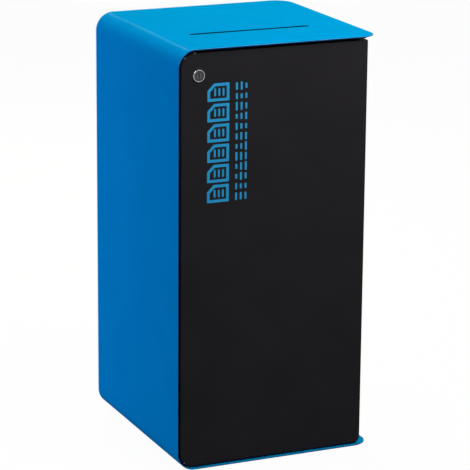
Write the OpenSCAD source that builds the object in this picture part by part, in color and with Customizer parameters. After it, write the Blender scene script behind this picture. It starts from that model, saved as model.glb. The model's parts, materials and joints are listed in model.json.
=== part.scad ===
// Free-standing bin for confidential paper. One steel sheet, bent twice, makes the bottom,
// the left side and the top. A dark inner cabinet closes the back and the right side, and a
// folded door hangs on two pivots between the plates, with a cam lock near its free edge.
// Inside, a wire ring that hinges up from the back panel holds the bag.
// Millimetres. X runs to the right, Y from the door to the back, Z up. The origin is on the
// floor, under the middle of the shell.

/* [Shell] */
// Width of the shell, from its side wall to the free edges of its plates
shell_w = 368; // [340:1:460]
// Depth of the shell, from its front edge to its back edge
shell_d = 376; // [340:1:460]
// Height of the shell, without the feet
shell_h = 730; // [640:1:900]
// Thickness of the shell's sheet
shell_t = 1.5; // [1.2:0.1:2.5]
// Outer radius of the shell's two bends
bend_r = 32; // [26:1:40]
// Radius of the plates' free corners, seen from above
plate_r = 32; // [15:1:40]
// How far the plates stand out past the door and the right panel
overhang = 18.5; // [14:0.5:30]

/* [Paper slot] */
// Length of the slot over its round ends
slot_len = 223; // [200:1:250]
// Width of the slot
slot_w = 10; // [5:0.5:12]
// Distance from the shell's front edge to the middle of the slot
slot_back = 125; // [90:1:180]

/* [Inner cabinet] */
// Thickness of the panels and angles
panel_t = 1.5; // [1:0.1:2]
// Width of the flanges that are welded to the shell
flange_w = 15; // [12:1:20]
// Width of the stops that the door closes against
stop_w = 20; // [18:1:26]
// Outer radius of the folds in panels and angles
fold_r = 3; // [2:0.5:5]
// How far the back panel lies inside the shell's back edge
back_inset = 2; // [0:0.5:8]
// Height of the sill behind the door
sill_h = 15; // [12:1:25]

/* [Door] */
// How far the door's face lies behind the shell's front edge
door_recess = 5; // [3:0.5:8]
// Depth of the folded door
door_depth = 16; // [14:0.5:22]
// Thickness of the door's sheet
door_t = 1.2; // [1:0.1:2]
// Width of the lip that is folded in behind the door
door_lip = 10; // [8:0.5:13]
// Gap between the door and the shell's side wall
gap_side = 5.5; // [4:0.5:8]
// Gap between the door and the top plate
gap_top = 5.5; // [4.5:0.5:8]
// Gap between the door and the bottom plate
gap_bottom = 2.5; // [2.2:0.1:6]
// Radius of the door's lower corner on the pivot side
door_low_r = 10.5; // [2:0.5:12]
// Radius of the door's upper corner on the pivot side
door_up_r = 2; // [2:0.5:12]
// Outer radius of the folds between the door's face and its sides
door_fold_r = 2; // [1:0.1:2]
// Width of the relief notches in the door's round corners
notch_w = 1.6; // [1:0.1:2.5]
// Width of the stiffener's raised part
rib_w = 40; // [25:1:60]
// Depth of the stiffener
rib_depth = 12; // [8:0.5:12.5]
// Radius of the rubber buffers
buffer_r = 4.5; // [3:0.5:6]

/* [Door pivots] */
// Distance from the door's edge to the pivot axis
pivot_in = 10; // [7.5:0.5:12]
// Radius of the pivot pins
pin_r = 3; // [2.5:0.1:3.5]
// How far the pins reach into the door
pin_reach = 10; // [7:0.5:14]
// Clearance between a pin and its bush
pin_play = 0.05; // [0.02:0.01:0.1]
// Wall of the bushes
bush_wall = 1.5; // [1.2:0.1:2.2]
// How far a bush's collar stands out past its wall
bush_collar = 1; // [0.8:0.1:1.5]
// Thickness of the lower pivot's base
pivot_base_t = 1; // [0.8:0.1:1.5]
// Thickness of the upper pivot's plate
pivot_plate_t = 2.5; // [2:0.1:2.8]
// Radius of the studs that hold the upper pivot's plate
stud_r = 2.5; // [2:0.1:3]

/* [Lock] */
// Distance from the shell's left face to the lock's axis
lock_x = 38.5; // [37:0.5:45]
// Distance from the shell's top to the lock's axis
lock_drop = 45; // [41:0.5:60]
// Radius of the ring round the lock's face
bezel_r = 11; // [10.5:0.5:14]
// How far that ring stands out of the door
bezel_h = 2.4; // [1.5:0.1:2.8]
// Radius of the lock's barrel
barrel_r = 9.2; // [8.5:0.1:9.5]
// Width over the flats of the barrel
barrel_flats = 16; // [14:0.5:17]
// Radius of the plug that the key turns
plug_r = 6; // [5:0.1:6.5]
// Width of that ring, seen round the plug's head
bezel_w = 2; // [1.6:0.1:3]
// How deep the plug's face lies inside the ring
plug_sink = 0.7; // [0.3:0.1:0.9]
// Thickness of the lock's nut
nut_t = 4; // [3:0.5:5]
// Width of the cam
cam_w = 13; // [12:0.5:15]
// Thickness of the cam
cam_t = 2; // [1.5:0.1:3]
// How far the locked cam reaches behind the stop
cam_bite = 11; // [6:0.5:13]

/* [Bag ring] */
// Radius of the ring's wire
wire_r = 3; // [2.5:0.5:4]
// Distance from the shell's top to the ring
ring_drop = 130; // [120:1:200]
// Corner radius of the ring, at the middle of its wire
ring_r = 55; // [25:1:80]
// Distance from the ring's wire to the side walls
ring_side = 23; // [18:1:40]
// Distance from the ring's rear bar to the back panel
ring_back = 12; // [9:0.5:20]
// Distance from the door's stops to the ring's front bar
ring_front = 22; // [15:1:60]
// Distance between the two saddles that hold the rear bar
saddle_apart = 160; // [100:5:180]
// Width of each saddle
saddle_w = 16; // [10:1:24]
// Width of the brackets that the ring rests on
rest_w = 24; // [15:1:40]

/* [Feet] */
// Height of the feet
foot_h = 3.5; // [2:0.5:8]
// Radius of the feet
foot_r = 12; // [8:0.5:18]
// Distance from the shell's edges to the middle of the feet
foot_in = 42; // [32:1:70]

/* [Hidden] */

$fn = 96;
cut = 1;              // how far a cutting shape runs past what it cuts
seat_gap = 0.1;       // clearance of parts that are clamped together
slide_gap = 0.3;      // clearance of parts that pass or rest on each other
swing_gap = 0.8;      // clearance round the door's turning edge
thrust_gap = 0.2;     // play between the lower bush and the pivot's base
lift_play = 1;        // play between the upper bush and the pivot's plate

// Heights and faces of the shell
low_z = foot_h;
top_z = low_z + shell_h;
floor_z = low_z + shell_t;
ceil_z = top_z - shell_t;
right_x = shell_w - overhang;
inner_right_x = right_x - panel_t;
inner_bend_r = bend_r - shell_t;

// The door between the plates
door_x = shell_t + gap_side;
door_w = right_x - door_x;
door_z = floor_z + gap_bottom;
door_h = ceil_z - gap_top - door_z;
door_top_z = door_z + door_h;
door_back = door_recess + door_depth;
door_left_r = bend_r - door_x;
door_radii = [door_left_r, door_low_r, door_up_r, door_left_r];
notch_deep = 3;       // how far a relief notch runs down the door's side
notch_bite = 1.1;     // how far it cuts into the face

// The pivot axis and the plane of the stops, just clear of the door's turning corner
pivot_x = right_x - pivot_in;
pivot_y = door_recess + door_depth / 2;
stop_y = pivot_y + norm([pivot_in, door_depth / 2]) + swing_gap;
buffer_h = stop_y - door_back - slide_gap;
bush_r = pin_r + pin_play + bush_wall;
collar_r = min(bush_r + bush_collar, pivot_in - door_t - seat_gap, door_depth / 2 - door_t - seat_gap);
low_collar_t = gap_bottom - pivot_base_t - thrust_gap;
up_collar_t = gap_top - pivot_plate_t - lift_play;
bush_len = pin_reach + 1;
plate_half_w = min(pivot_in - panel_t, pivot_y - door_recess) - slide_gap;
stud_back = 12;       // from the stops to the nearer stud
stud_apart = 16;
stud_past = 1.5;      // how far a stud comes out of its nut
stud_near_y = stop_y + stud_back;
plate_end_y = stud_near_y + stud_apart + stud_apart / 2;
nut_r = 1.85 * stud_r;
nut_h = 1.6 * stud_r;
nut_base = 1.18;      // radius of the cone that bevels a nut, at its base and its top,
nut_top = 0.94;       // as a share of the radius of its corners

// The lock, from the bezel's face back to the cam
cam_gap = 1.5;        // between the left stop and the cam
clip_t = 0.45;        // collar that keeps the plug from sliding out
clip_w = 1.5;
bezel_rim = 0.3;      // chamfer round the plug's head
bezel_slope = 1.1;    // slope of the bezel's outer rim
lock_z = top_z - lock_drop;
plug_play = 0.05;
cam_y = stop_y + panel_t + cam_gap;
barrel_end = cam_y - clip_t - seat_gap - plug_play;
plug_face = door_recess - bezel_h + plug_sink;
plug_head_r = bezel_r - bezel_w;
plug_head_t = 1.1;
head_back = plug_sink + plug_head_t - bezel_h;
tail_w = 1.15 * plug_r;
cam_len = lock_x - shell_t - stop_w + cam_bite;
cam_tip_r = 3;
screw_r = plug_r / 3;
screw_deep = 8;
screw_head_r = 0.78 * tail_w;
screw_head_h = 2.4;
screw_cross = 1;      // width of the cross in its head
boss_r = 4.6;         // raised middle of the plug's face, round the keyway
boss_h = 0.35;
key_w = 1.6;
key_h = 7.5;
key_deep = 12;
lock_nut_wall = 3.8;
lock_nut_r = barrel_r + lock_nut_wall;

// The ring and what carries it
ring_z = top_z - ring_drop;
ring_x0 = shell_t + ring_side;
ring_x1 = inner_right_x - ring_side;
ring_y0 = stop_y + ring_front;
back_face = shell_d - back_inset - panel_t;
ring_y1 = back_face - ring_back;
ring_mid_x = (ring_x0 + ring_x1) / 2;
saddle_wall = 3;
saddle_leg = 12;      // how far a saddle's plate reaches above and below
saddle_r = wire_r + saddle_wall;
saddle_h = 2 * (saddle_r + saddle_leg);
rest_y = ring_y0 + ring_r + rest_w;
rest_h = 22;          // height of the rests' legs on the walls
rest_top = ring_z - wire_r - slide_gap;

// Puts a shape that starts at the shell's left front edge into the part's own frame
module place() translate([-shell_w / 2, -shell_d / 2, 0]) children();

// A flat outline in X and Z, made len deep along Y from y
module along_y(y, len) translate([0, y + len, 0]) rotate([90, 0, 0]) linear_extrude(len) children();

// A round bar along Y
module bar_y(x, y, z, r, len) translate([x, y, z]) rotate([-90, 0, 0]) cylinder(r = r, h = len);

// What a corner loses when it is rounded
module corner_off(r) if (r > 0) difference() {
    translate([-cut, -cut]) square(r + cut);
    translate([r, r]) circle(r);
}

// Rectangle whose corner radii run anticlockwise from the lower left
module round_rect(w, h, radii) difference() {
    square([w, h]);
    corner_off(radii[0]);
    translate([w, 0]) mirror([1, 0]) corner_off(radii[1]);
    translate([w, h]) rotate(180) corner_off(radii[2]);
    translate([0, h]) mirror([0, 1]) corner_off(radii[3]);
}

// Section of a folded angle, with its fold at the origin
module angle_section(a, b) difference() {
    round_rect(a, b, [fold_r, 0, 0, 0]);
    translate([panel_t, panel_t]) round_rect(a, b, [max(fold_r - panel_t, 0), 0, 0, 0]);
}

// Hexagonal nut with its hole, standing on the XY plane
module hex_nut(r, h, hole_r) difference() {
    intersection() {
        cylinder(r = r, h = h, $fn = 6);
        cylinder(r1 = nut_base * r, r2 = nut_top * r, h = h);
    }
    translate([0, 0, -cut]) cylinder(r = hole_r, h = h + 2 * cut);
}

// ---- Shell ----

module paper_slot() translate([(shell_w - slot_len) / 2, slot_back - slot_w / 2, ceil_z - cut])
    linear_extrude(shell_t + 2 * cut)
        round_rect(slot_len, slot_w, [1, 1, 1, 1] * slot_w / 2);

// Bent sheet: a C seen from the front, with its plates' free corners rounded off
module shell() color([0, 0.63, 0.85]) place() difference() {
    intersection() {
        along_y(0, shell_d) translate([0, low_z]) difference() {
            round_rect(shell_w, shell_h, [bend_r, 0, 0, bend_r]);
            translate([shell_t, shell_t])
                round_rect(shell_w, shell_h - 2 * shell_t, [inner_bend_r, 0, 0, inner_bend_r]);
        }
        translate([0, 0, low_z]) linear_extrude(shell_h)
            round_rect(shell_w, shell_d, [0, plate_r, plate_r, 0]);
    }
    paper_slot();
}

module feet() color([0.12, 0.12, 0.12]) place()
    for (x = [foot_in, shell_w - foot_in], y = [foot_in, shell_d - foot_in])
        translate([x, y, 0]) rotate_extrude()
            polygon([[0, 0], [foot_r - foot_h / 3, 0], [foot_r, foot_h / 2], [foot_r, foot_h], [0, foot_h]]);

// ---- Inner cabinet ----

// Outline of the space inside the shell, inset all round
module back_outline(inset) translate([shell_t + inset, floor_z + inset])
    round_rect(inner_right_x - shell_t - 2 * inset, ceil_z - floor_z - 2 * inset,
               [1, 0, 0, 1] * (inner_bend_r + cut - inset));

// Shallow pan whose flange points forward
module back_panel() color([0.13, 0.13, 0.14]) place() difference() {
    along_y(back_face + panel_t - flange_w, flange_w) back_outline(0);
    along_y(back_face - flange_w, flange_w) back_outline(panel_t);
}

// Side panel with a stop folded in at the front and welding flanges at both ends
module right_panel() color([0.13, 0.13, 0.14]) place() {
    panel_end = back_face + panel_t;
    difference() {
        translate([0, 0, floor_z]) linear_extrude(ceil_z - floor_z)
            translate([right_x, stop_y]) mirror([1, 0]) angle_section(stop_w, panel_end - stop_y);
        translate([right_x - stop_w - cut, stop_y - cut, ceil_z - pivot_plate_t - slide_gap])
            cube([stop_w + cut - panel_t, panel_t + fold_r + cut, pivot_plate_t + cut + slide_gap]);
    }
    for (z = [floor_z, ceil_z - panel_t])
        translate([right_x - flange_w, plate_end_y + swing_gap, z])
            cube([flange_w - panel_t, panel_end - flange_w - plate_end_y - 2 * swing_gap, panel_t]);
}

// Angle on the side wall that the locked cam reaches behind
module left_stop() color([0.13, 0.13, 0.14]) place()
    translate([shell_t, stop_y, low_z + bend_r]) linear_extrude(shell_h - 2 * bend_r)
        angle_section(stop_w, flange_w);

// Angle under the top plate, from the bend to the right panel's stop
module header_stop() color([0.13, 0.13, 0.14]) place()
    translate([bend_r, stop_y, ceil_z]) rotate([0, 90, 0])
        linear_extrude(right_x - stop_w - bend_r) angle_section(stop_w, flange_w);

module sill_stop() color([0.13, 0.13, 0.14]) place()
    translate([bend_r, stop_y, floor_z]) mirror([0, 0, 1]) rotate([0, 90, 0])
        linear_extrude(right_x - stop_w - bend_r) angle_section(sill_h, flange_w);

module stop_buffers() color([0.1, 0.1, 0.1]) place()
    for (z = [door_z + door_h / 5, door_z + 4 * door_h / 5])
        bar_y(door_x + door_lip / 2, stop_y - buffer_h, z, buffer_r, buffer_h);

// ---- Door pivots ----

module pivot_plate_outline() translate([pivot_x - plate_half_w, pivot_y - plate_half_w])
    round_rect(2 * plate_half_w, plate_end_y - pivot_y + plate_half_w, [1, 1, 1, 1] * plate_half_w / 2);

// Plate with the upper pin, put in last and held by two nuts behind the stops
module upper_pivot() color([0.13, 0.13, 0.14]) place() {
    difference() {
        translate([0, 0, ceil_z - pivot_plate_t]) linear_extrude(pivot_plate_t) pivot_plate_outline();
        for (y = [0, stud_apart]) translate([pivot_x, stud_near_y + y, ceil_z - pivot_plate_t - cut])
            cylinder(r = stud_r + seat_gap, h = pivot_plate_t + 2 * cut);
    }
    translate([pivot_x, pivot_y, door_top_z - pin_reach])
        cylinder(r = pin_r, h = pin_reach + gap_top - pivot_plate_t / 2);
}

// Threaded studs welded under the top plate
module pivot_studs() color("silver") place()
    for (y = [0, stud_apart])
        translate([pivot_x, stud_near_y + y, ceil_z - pivot_plate_t - nut_h - stud_past])
            cylinder(r = stud_r, h = pivot_plate_t + nut_h + stud_past);

module pivot_nuts() color("silver") place()
    for (y = [0, stud_apart]) translate([pivot_x, stud_near_y + y, ceil_z - pivot_plate_t])
        mirror([0, 0, 1]) hex_nut(nut_r, nut_h, stud_r);

// Lower pin on its round base, welded to the bottom plate
module lower_pivot() color([0.13, 0.13, 0.14]) place() translate([pivot_x, pivot_y, floor_z]) {
    cylinder(r = collar_r, h = pivot_base_t);
    cylinder(r = pin_r, h = gap_bottom + pin_reach);
}

// Flanged bush, drawn along Z from its collar: the wall runs through the door's flange
module bush(collar_t) difference() {
    union() {
        cylinder(r = bush_r, h = collar_t + bush_len);
        cylinder(r = collar_r, h = collar_t);
    }
    translate([0, 0, -cut]) cylinder(r = pin_r + pin_play, h = collar_t + bush_len + 2 * cut);
}

// Its collar carries the door on the lower pivot's base
module lower_bush() color([0.15, 0.15, 0.15]) place()
    translate([pivot_x, pivot_y, door_z - low_collar_t]) bush(low_collar_t);

// Its collar lies on the door, and keeps it from being lifted off the lower pin
module upper_bush() color([0.15, 0.15, 0.15]) place()
    translate([pivot_x, pivot_y, door_top_z + up_collar_t]) mirror([0, 0, 1]) bush(up_collar_t);

// ---- Door ----

module door_outline(inset) translate([door_x + inset, door_z + inset])
    round_rect(door_w - 2 * inset, door_h - 2 * inset, [for (r = door_radii) max(r - inset, 0)]);

// What a folded edge loses to its radius, drawn from the fold's centre
module fold_off(r) difference() {
    square(r + cut);
    circle(r);
}

// The same all round a plate whose face is at Z = 0, for corner radii as in round_rect
module folds_off(w, h, radii, r) for (i = [0:3]) {
    side = (i % 2 == 0 ? w : h) - radii[i] - radii[(i + 1) % 4];
    translate([i == 1 || i == 2 ? w - radii[i] : radii[i], i < 2 ? radii[i] : h - radii[i], -r])
        rotate(180 + 90 * i) {
            rotate_extrude(angle = 90) translate([radii[i] - r, 0]) fold_off(r);
            rotate(90) translate([radii[i] - r, side, 0]) rotate([90, 0, 0])
                linear_extrude(side) fold_off(r);
        }
}

// Relief notches where the folded side goes round a corner
module corner_notches() for (z = [door_z + door_left_r, door_top_z - door_left_r], turn = [0, 45, 90])
    translate([door_x + door_left_r, door_recess - cut, z])
        mirror([0, 0, z > shell_h / 2 ? 1 : 0]) rotate([0, turn, 0])
            translate([-notch_w / 2, 0, -door_left_r - cut])
                cube([notch_w, notch_deep + cut, notch_bite + cut]);

// Folded pan with a lip all round its open back
module door_skin() color([0.14, 0.13, 0.14]) place() difference() {
    along_y(door_recess, door_depth) door_outline(0);
    along_y(door_recess + door_t, door_depth - 2 * door_t) door_outline(door_t);
    along_y(door_recess + door_t, door_depth) door_outline(door_lip);
    bar_y(lock_x, door_recess - cut, lock_z, barrel_r + seat_gap, door_t + 2 * cut);
    translate([pivot_x, pivot_y, door_z - cut]) cylinder(r = bush_r, h = max(door_t, door_low_r) + cut);
    translate([pivot_x, pivot_y, door_top_z - max(door_t, door_up_r)])
        cylinder(r = bush_r, h = max(door_t, door_up_r) + cut);
    translate([door_x, door_recess, door_z]) rotate([90, 0, 0])
        folds_off(door_w, door_h, door_radii, door_fold_r);
    corner_notches();
}

// Top-hat rib down the middle of the door
module door_stiffener() color([0.14, 0.13, 0.14]) place()
    translate([door_x + door_w / 2, door_recess + door_t, door_z + door_lip + bush_len])
        linear_extrude(door_h - 2 * (door_lip + bush_len)) difference() {
            union() {
                translate([-rib_w / 2 - flange_w, 0]) square([rib_w + 2 * flange_w, panel_t]);
                translate([-rib_w / 2, 0]) round_rect(rib_w, rib_depth, [0, 0, fold_r, fold_r]);
            }
            translate([panel_t - rib_w / 2, -cut])
                round_rect(rib_w - 2 * panel_t, rib_depth - panel_t + cut,
                           [0, 0, 1, 1] * max(fold_r - panel_t, 0));
        }

// ---- Lock ----

// Puts a shape that is drawn along Z at the lock's axis, with Z pointing into the cabinet
module at_lock(y) translate([lock_x, y, lock_z]) rotate([-90, 0, 0]) children();

// Round bezel with a sloping rim, counterbored for the plug's head, on a barrel with two flats
module lock_housing() color("gainsboro") place() at_lock(door_recess) difference() {
    union() {
        rotate_extrude() polygon([
            [plug_r + plug_play, 0], [plug_r + plug_play, head_back],
            [plug_head_r + plug_play, head_back], [plug_head_r + plug_play, bezel_rim - bezel_h],
            [plug_head_r + bezel_rim, -bezel_h], [bezel_r - bezel_slope, -bezel_h],
            [bezel_r, -bezel_h / 3], [bezel_r, 0]]);
        intersection() {
            cylinder(r = barrel_r, h = barrel_end - door_recess);
            translate([-barrel_flats / 2, -barrel_r, 0])
                cube([barrel_flats, 2 * barrel_r, barrel_end - door_recess]);
        }
    }
    translate([0, 0, head_back - cut])
        cylinder(r = plug_r + plug_play, h = barrel_end - door_recess - head_back + 2 * cut);
}

module lock_nut() color("silver") place() at_lock(door_recess + door_t)
    hex_nut(lock_nut_r, nut_t, barrel_r);

// Plug with its head and keyway in front, a retaining collar and a square tail for the cam
module key_plug() color("gray") place() at_lock(plug_face) {
    body_len = cam_y - plug_face;
    difference() {
        union() {
            cylinder(r = plug_r, h = body_len);
            cylinder(r = plug_head_r, h = plug_head_t - plug_play);
            translate([0, 0, -boss_h]) cylinder(r = boss_r, h = boss_h + plug_play);
            translate([0, 0, body_len - clip_t]) cylinder(r = plug_r + clip_w, h = clip_t);
            translate([-tail_w / 2, -tail_w / 2, body_len - cut]) cube([tail_w, tail_w, cam_t + cut]);
        }
        translate([-key_w / 2, -key_h / 2, -boss_h - cut]) cube([key_w, key_h, key_deep + cut]);
        translate([-key_w, -key_h / 2, -boss_h - cut]) cube([key_w, key_h / 3, key_deep + cut]);
        translate([0, 0, body_len + cam_t - screw_deep]) cylinder(r = screw_r, h = screw_deep + cut);
    }
}

// Cam that hangs down when unlocked; a quarter turn puts it behind the left stop
module lock_cam() color("silver") place() at_lock(cam_y) difference() {
    linear_extrude(cam_t) {
        circle(cam_w / 2 + 1);
        translate([-cam_w / 2, 0]) round_rect(cam_w, cam_len, [0, 0, 1, 1] * cam_tip_r);
    }
    translate([-tail_w / 2, -tail_w / 2, -cut]) cube([tail_w, tail_w, cam_t + 2 * cut]);
}

// Screw that clamps the cam on the plug's tail
module cam_screw() color("silver") place() at_lock(cam_y + cam_t) difference() {
    union() {
        rotate_extrude() polygon([[0, 0], [screw_head_r, 0], [screw_head_r, screw_head_h / 2],
                                  [0.77 * screw_head_r, screw_head_h], [0, screw_head_h]]);
        translate([0, 0, -screw_deep + slide_gap]) cylinder(r = screw_r - plug_play, h = screw_deep);
    }
    for (a = [0, 90]) rotate(a) translate([-screw_cross / 2, -screw_r, screw_head_h / 2])
        cube([screw_cross, 2 * screw_r, screw_head_h / 2 + cut]);
}

// ---- Bag ring ----

// A quarter of the ring, from the middle of its rear bar to the middle of its right bar
module ring_quarter(half) {
    translate([half[0] - ring_r, half[1] - ring_r, 0]) rotate_extrude(angle = 90)
        translate([ring_r, 0]) circle(wire_r);
    translate([0, half[1], 0]) rotate([0, 90, 0]) cylinder(r = wire_r, h = half[0] - ring_r);
    bar_y(half[0], 0, 0, wire_r, half[1] - ring_r);
}

module ring_side_half(half) union() {
    ring_quarter(half);
    mirror([0, 1, 0]) ring_quarter(half);
}

// Closed wire ring with round corners
module bag_ring() color("silver") place() translate([ring_mid_x, (ring_y0 + ring_y1) / 2, ring_z]) {
    half = [(ring_x1 - ring_x0) / 2, (ring_y1 - ring_y0) / 2];
    ring_side_half(half);
    mirror([1, 0, 0]) ring_side_half(half);
}

// Saddle on the back panel that the ring's rear bar turns in
module ring_saddle(x) translate([x - saddle_w / 2, ring_y1, ring_z]) difference() {
    union() {
        rotate([0, 90, 0]) cylinder(r = saddle_r, h = saddle_w);
        translate([0, 0, -saddle_r]) cube([saddle_w, ring_back, 2 * saddle_r]);
        translate([0, ring_back - panel_t, -saddle_h / 2]) cube([saddle_w, panel_t, saddle_h]);
    }
    translate([-cut, 0, 0]) rotate([0, 90, 0]) cylinder(r = wire_r + pin_play, h = saddle_w + 2 * cut);
}

module ring_saddle_left() color([0.13, 0.13, 0.14]) place() ring_saddle(ring_mid_x - saddle_apart / 2);

module ring_saddle_right() color([0.13, 0.13, 0.14]) place() ring_saddle(ring_mid_x + saddle_apart / 2);

// Folded bracket: one leg on the wall, the other under the ring's side bar
module ring_rest() along_y(rest_y - rest_w / 2, rest_w)
    mirror([0, 1]) angle_section(ring_side + 2 * wire_r, rest_h);

module ring_rest_left() color([0.13, 0.13, 0.14]) place()
    translate([shell_t, 0, rest_top]) ring_rest();

module ring_rest_right() color([0.13, 0.13, 0.14]) place()
    translate([inner_right_x, 0, rest_top]) mirror([1, 0, 0]) ring_rest();

shell();
back_panel();
right_panel();
left_stop();
header_stop();
sill_stop();
upper_pivot();
pivot_studs();
pivot_nuts();
lower_pivot();
stop_buffers();
ring_saddle_left();
ring_saddle_right();
ring_rest_left();
ring_rest_right();
feet();
door_skin();
door_stiffener();
upper_bush();
lower_bush();
lock_housing();
lock_nut();
key_plug();
lock_cam();
cam_screw();
bag_ring();
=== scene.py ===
# %% [markdown]
# # A steel bin for confidential paper
#
# The object is an office bin that takes paper through a slot in its top. One blue steel sheet
# is bent twice, so that it makes the bottom, the left side and the top. A dark cabinet closes
# the back and the right side, and a dark folded door with a small cam lock closes the front.
#
# The construction comes from the CAD model, which this script loads as a fixed frame. What is
# left to do here is the look: rounded sheet edges, powder coat, plated metal, the printed
# marks on the door, the light and the camera. Each step says what the real thing is, how it
# could be made in Blender, and why it is made the way it is.

# %% Load the frame
import json
import math

import bmesh
import bpy
from mathutils import Matrix, Vector

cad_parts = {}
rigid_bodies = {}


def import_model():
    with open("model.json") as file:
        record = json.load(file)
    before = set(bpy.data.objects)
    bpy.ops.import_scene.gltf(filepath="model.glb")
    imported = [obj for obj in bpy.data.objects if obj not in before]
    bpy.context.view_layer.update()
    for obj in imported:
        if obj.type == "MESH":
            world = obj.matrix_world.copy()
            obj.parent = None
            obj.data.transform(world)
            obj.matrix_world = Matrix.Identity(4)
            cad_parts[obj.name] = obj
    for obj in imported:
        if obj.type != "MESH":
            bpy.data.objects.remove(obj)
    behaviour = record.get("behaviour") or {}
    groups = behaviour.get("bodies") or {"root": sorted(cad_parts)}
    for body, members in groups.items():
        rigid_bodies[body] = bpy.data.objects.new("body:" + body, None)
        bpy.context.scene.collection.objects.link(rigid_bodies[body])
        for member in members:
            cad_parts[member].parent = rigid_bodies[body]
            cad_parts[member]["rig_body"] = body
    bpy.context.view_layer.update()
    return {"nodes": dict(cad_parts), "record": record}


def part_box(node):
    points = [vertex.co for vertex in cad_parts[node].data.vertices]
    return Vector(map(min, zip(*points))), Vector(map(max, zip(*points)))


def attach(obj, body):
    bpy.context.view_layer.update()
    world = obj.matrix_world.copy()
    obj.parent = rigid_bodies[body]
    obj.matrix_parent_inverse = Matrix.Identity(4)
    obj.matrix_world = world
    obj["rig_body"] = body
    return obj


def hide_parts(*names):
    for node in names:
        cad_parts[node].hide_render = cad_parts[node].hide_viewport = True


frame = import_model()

MM = 0.001

# %% [markdown]
# ## Sizes taken from the frame
#
# Places follow from the boxes of the CAD nodes, so that the dressing still fits when the
# construction changes. Only a few sizes of its own, such as those of the slot, the print and
# the rounded edges, are given as named values. X runs to the right, Y from the door to the
# back, and Z up.

# %% Read the boxes
shell_low, shell_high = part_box("shell")
_, back_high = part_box("back_panel")
door_low, door_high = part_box("door_skin")
lock_low, lock_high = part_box("lock_housing")
stud_low, stud_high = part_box("pivot_studs")

SHEET = shell_high.z - back_high.z
DOOR_FACE = door_low.y
LOCK_X = (lock_low.x + lock_high.x) / 2
LOCK_Z = (lock_low.z + lock_high.z) / 2
print("shell", [round(v / MM, 1) for v in shell_high - shell_low], "mm")
print("sheet", round(SHEET / MM, 2), "mm")
print("lock axis at x", round(LOCK_X / MM, 1), "and z", round(LOCK_Z / MM, 1), "mm")

# %% [markdown]
# ## Camera
#
# The photograph is a square of 470 pixels, taken with a long lens from the front left and a
# little above. Its place and focal length were solved from the bin's straight edges. A long
# lens keeps the upright edges nearly parallel. The small roll is the photograph's own.

# %% Make the camera
PHOTO_PIXELS = 470
FOCAL_PIXELS = 2473.1
SENSOR_MM = 36
CAMERA_TARGET = Vector((0.0019, -0.0044, 0.3568))
CAMERA_DISTANCE = 4.3592
AZIMUTH = math.radians(-24.084)
ELEVATION = math.radians(15.380)
ROLL = math.radians(0.477)

camera = bpy.data.objects.new("photo_camera", bpy.data.cameras.new("photo_camera"))
bpy.context.scene.collection.objects.link(camera)
camera.data.sensor_width = SENSOR_MM
camera.data.lens = SENSOR_MM * FOCAL_PIXELS / PHOTO_PIXELS
turned = Matrix.Rotation(AZIMUTH, 4, "Z") @ Matrix.Rotation(math.pi / 2 - ELEVATION, 4, "X")
to_camera = turned.to_3x3() @ Vector((0, 0, CAMERA_DISTANCE))
moved = Matrix.Translation(CAMERA_TARGET + to_camera)
camera.matrix_world = moved @ turned @ Matrix.Rotation(ROLL, 4, "Z")
bpy.context.scene.camera = camera
print("camera at", [round(v, 3) for v in camera.location], "with a", round(camera.data.lens), "mm lens")

# %% [markdown]
# ## Two helpers for node trees
#
# Colours are written the way a paint chart or a photograph gives them, as sRGB hex values.
# Shaders work with linear light, so one function turns the one into the other. Another adds a
# node of any kind to a tree, and says in one call what is set and what is linked.

# %% Colour and node helpers
def linear(hex_colour):
    """Linear RGBA from an sRGB colour such as "009BD4"."""
    parts = [int(hex_colour[i:i + 2], 16) / 255 for i in (0, 2, 4)]
    return [p / 12.92 if p <= 0.04045 else ((p + 0.055) / 1.055) ** 2.4 for p in parts] + [1.0]


def node(tree, kind, inputs=None, **settings):
    """Adds a node. inputs holds values to set and what to link, by socket name or number.

    What is linked is a socket, or a node, which stands for its first output in use.
    """
    made = tree.nodes.new(kind)
    for name, value in settings.items():
        setattr(made, name, value)
    for name, value in (inputs or {}).items():
        if isinstance(value, bpy.types.Node):
            value = next(socket for socket in value.outputs if socket.enabled)
        if isinstance(value, bpy.types.NodeSocket):
            tree.links.new(value, made.inputs[name])
        else:
            made.inputs[name].default_value = value
    return made


print("mid grey, linear:", round(linear("808080")[0], 3))

# %% [markdown]
# ## What the materials share
#
# No real surface is even, so each finish of the bin mixes two close colours by a noise.
# Blender's noise mostly lies from 0.3 to 0.7, and a Map Range node spreads that over the range
# that is wanted. The noise reads the piece's own coordinates, in metres, so its scale is one
# over the size of a blob.

# %% Start a material and mix its colours
NOISE_SPAN = {"From Min": 0.3, "From Max": 0.7}


def new_material(name):
    """An empty node material. Returns it, its tree and the piece's own coordinates."""
    material = bpy.data.materials.new(name)
    material.use_nodes = True
    tree = material.node_tree
    tree.nodes.clear()
    return material, tree, node(tree, "ShaderNodeTexCoord").outputs["Object"]


def colour_between(tree, pattern, first_hex, second_hex):
    """Mixes two colours by a noise. A Mix node takes its colours in sockets 6 and 7."""
    share = node(tree, "ShaderNodeMapRange", {"Value": pattern, **NOISE_SPAN})
    return node(tree, "ShaderNodeMix", {
        "Factor": share, 6: linear(first_hex), 7: linear(second_hex)}, data_type="RGBA")


print("a noise is spread from", list(NOISE_SPAN.values()), "to 0 and 1")

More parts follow.
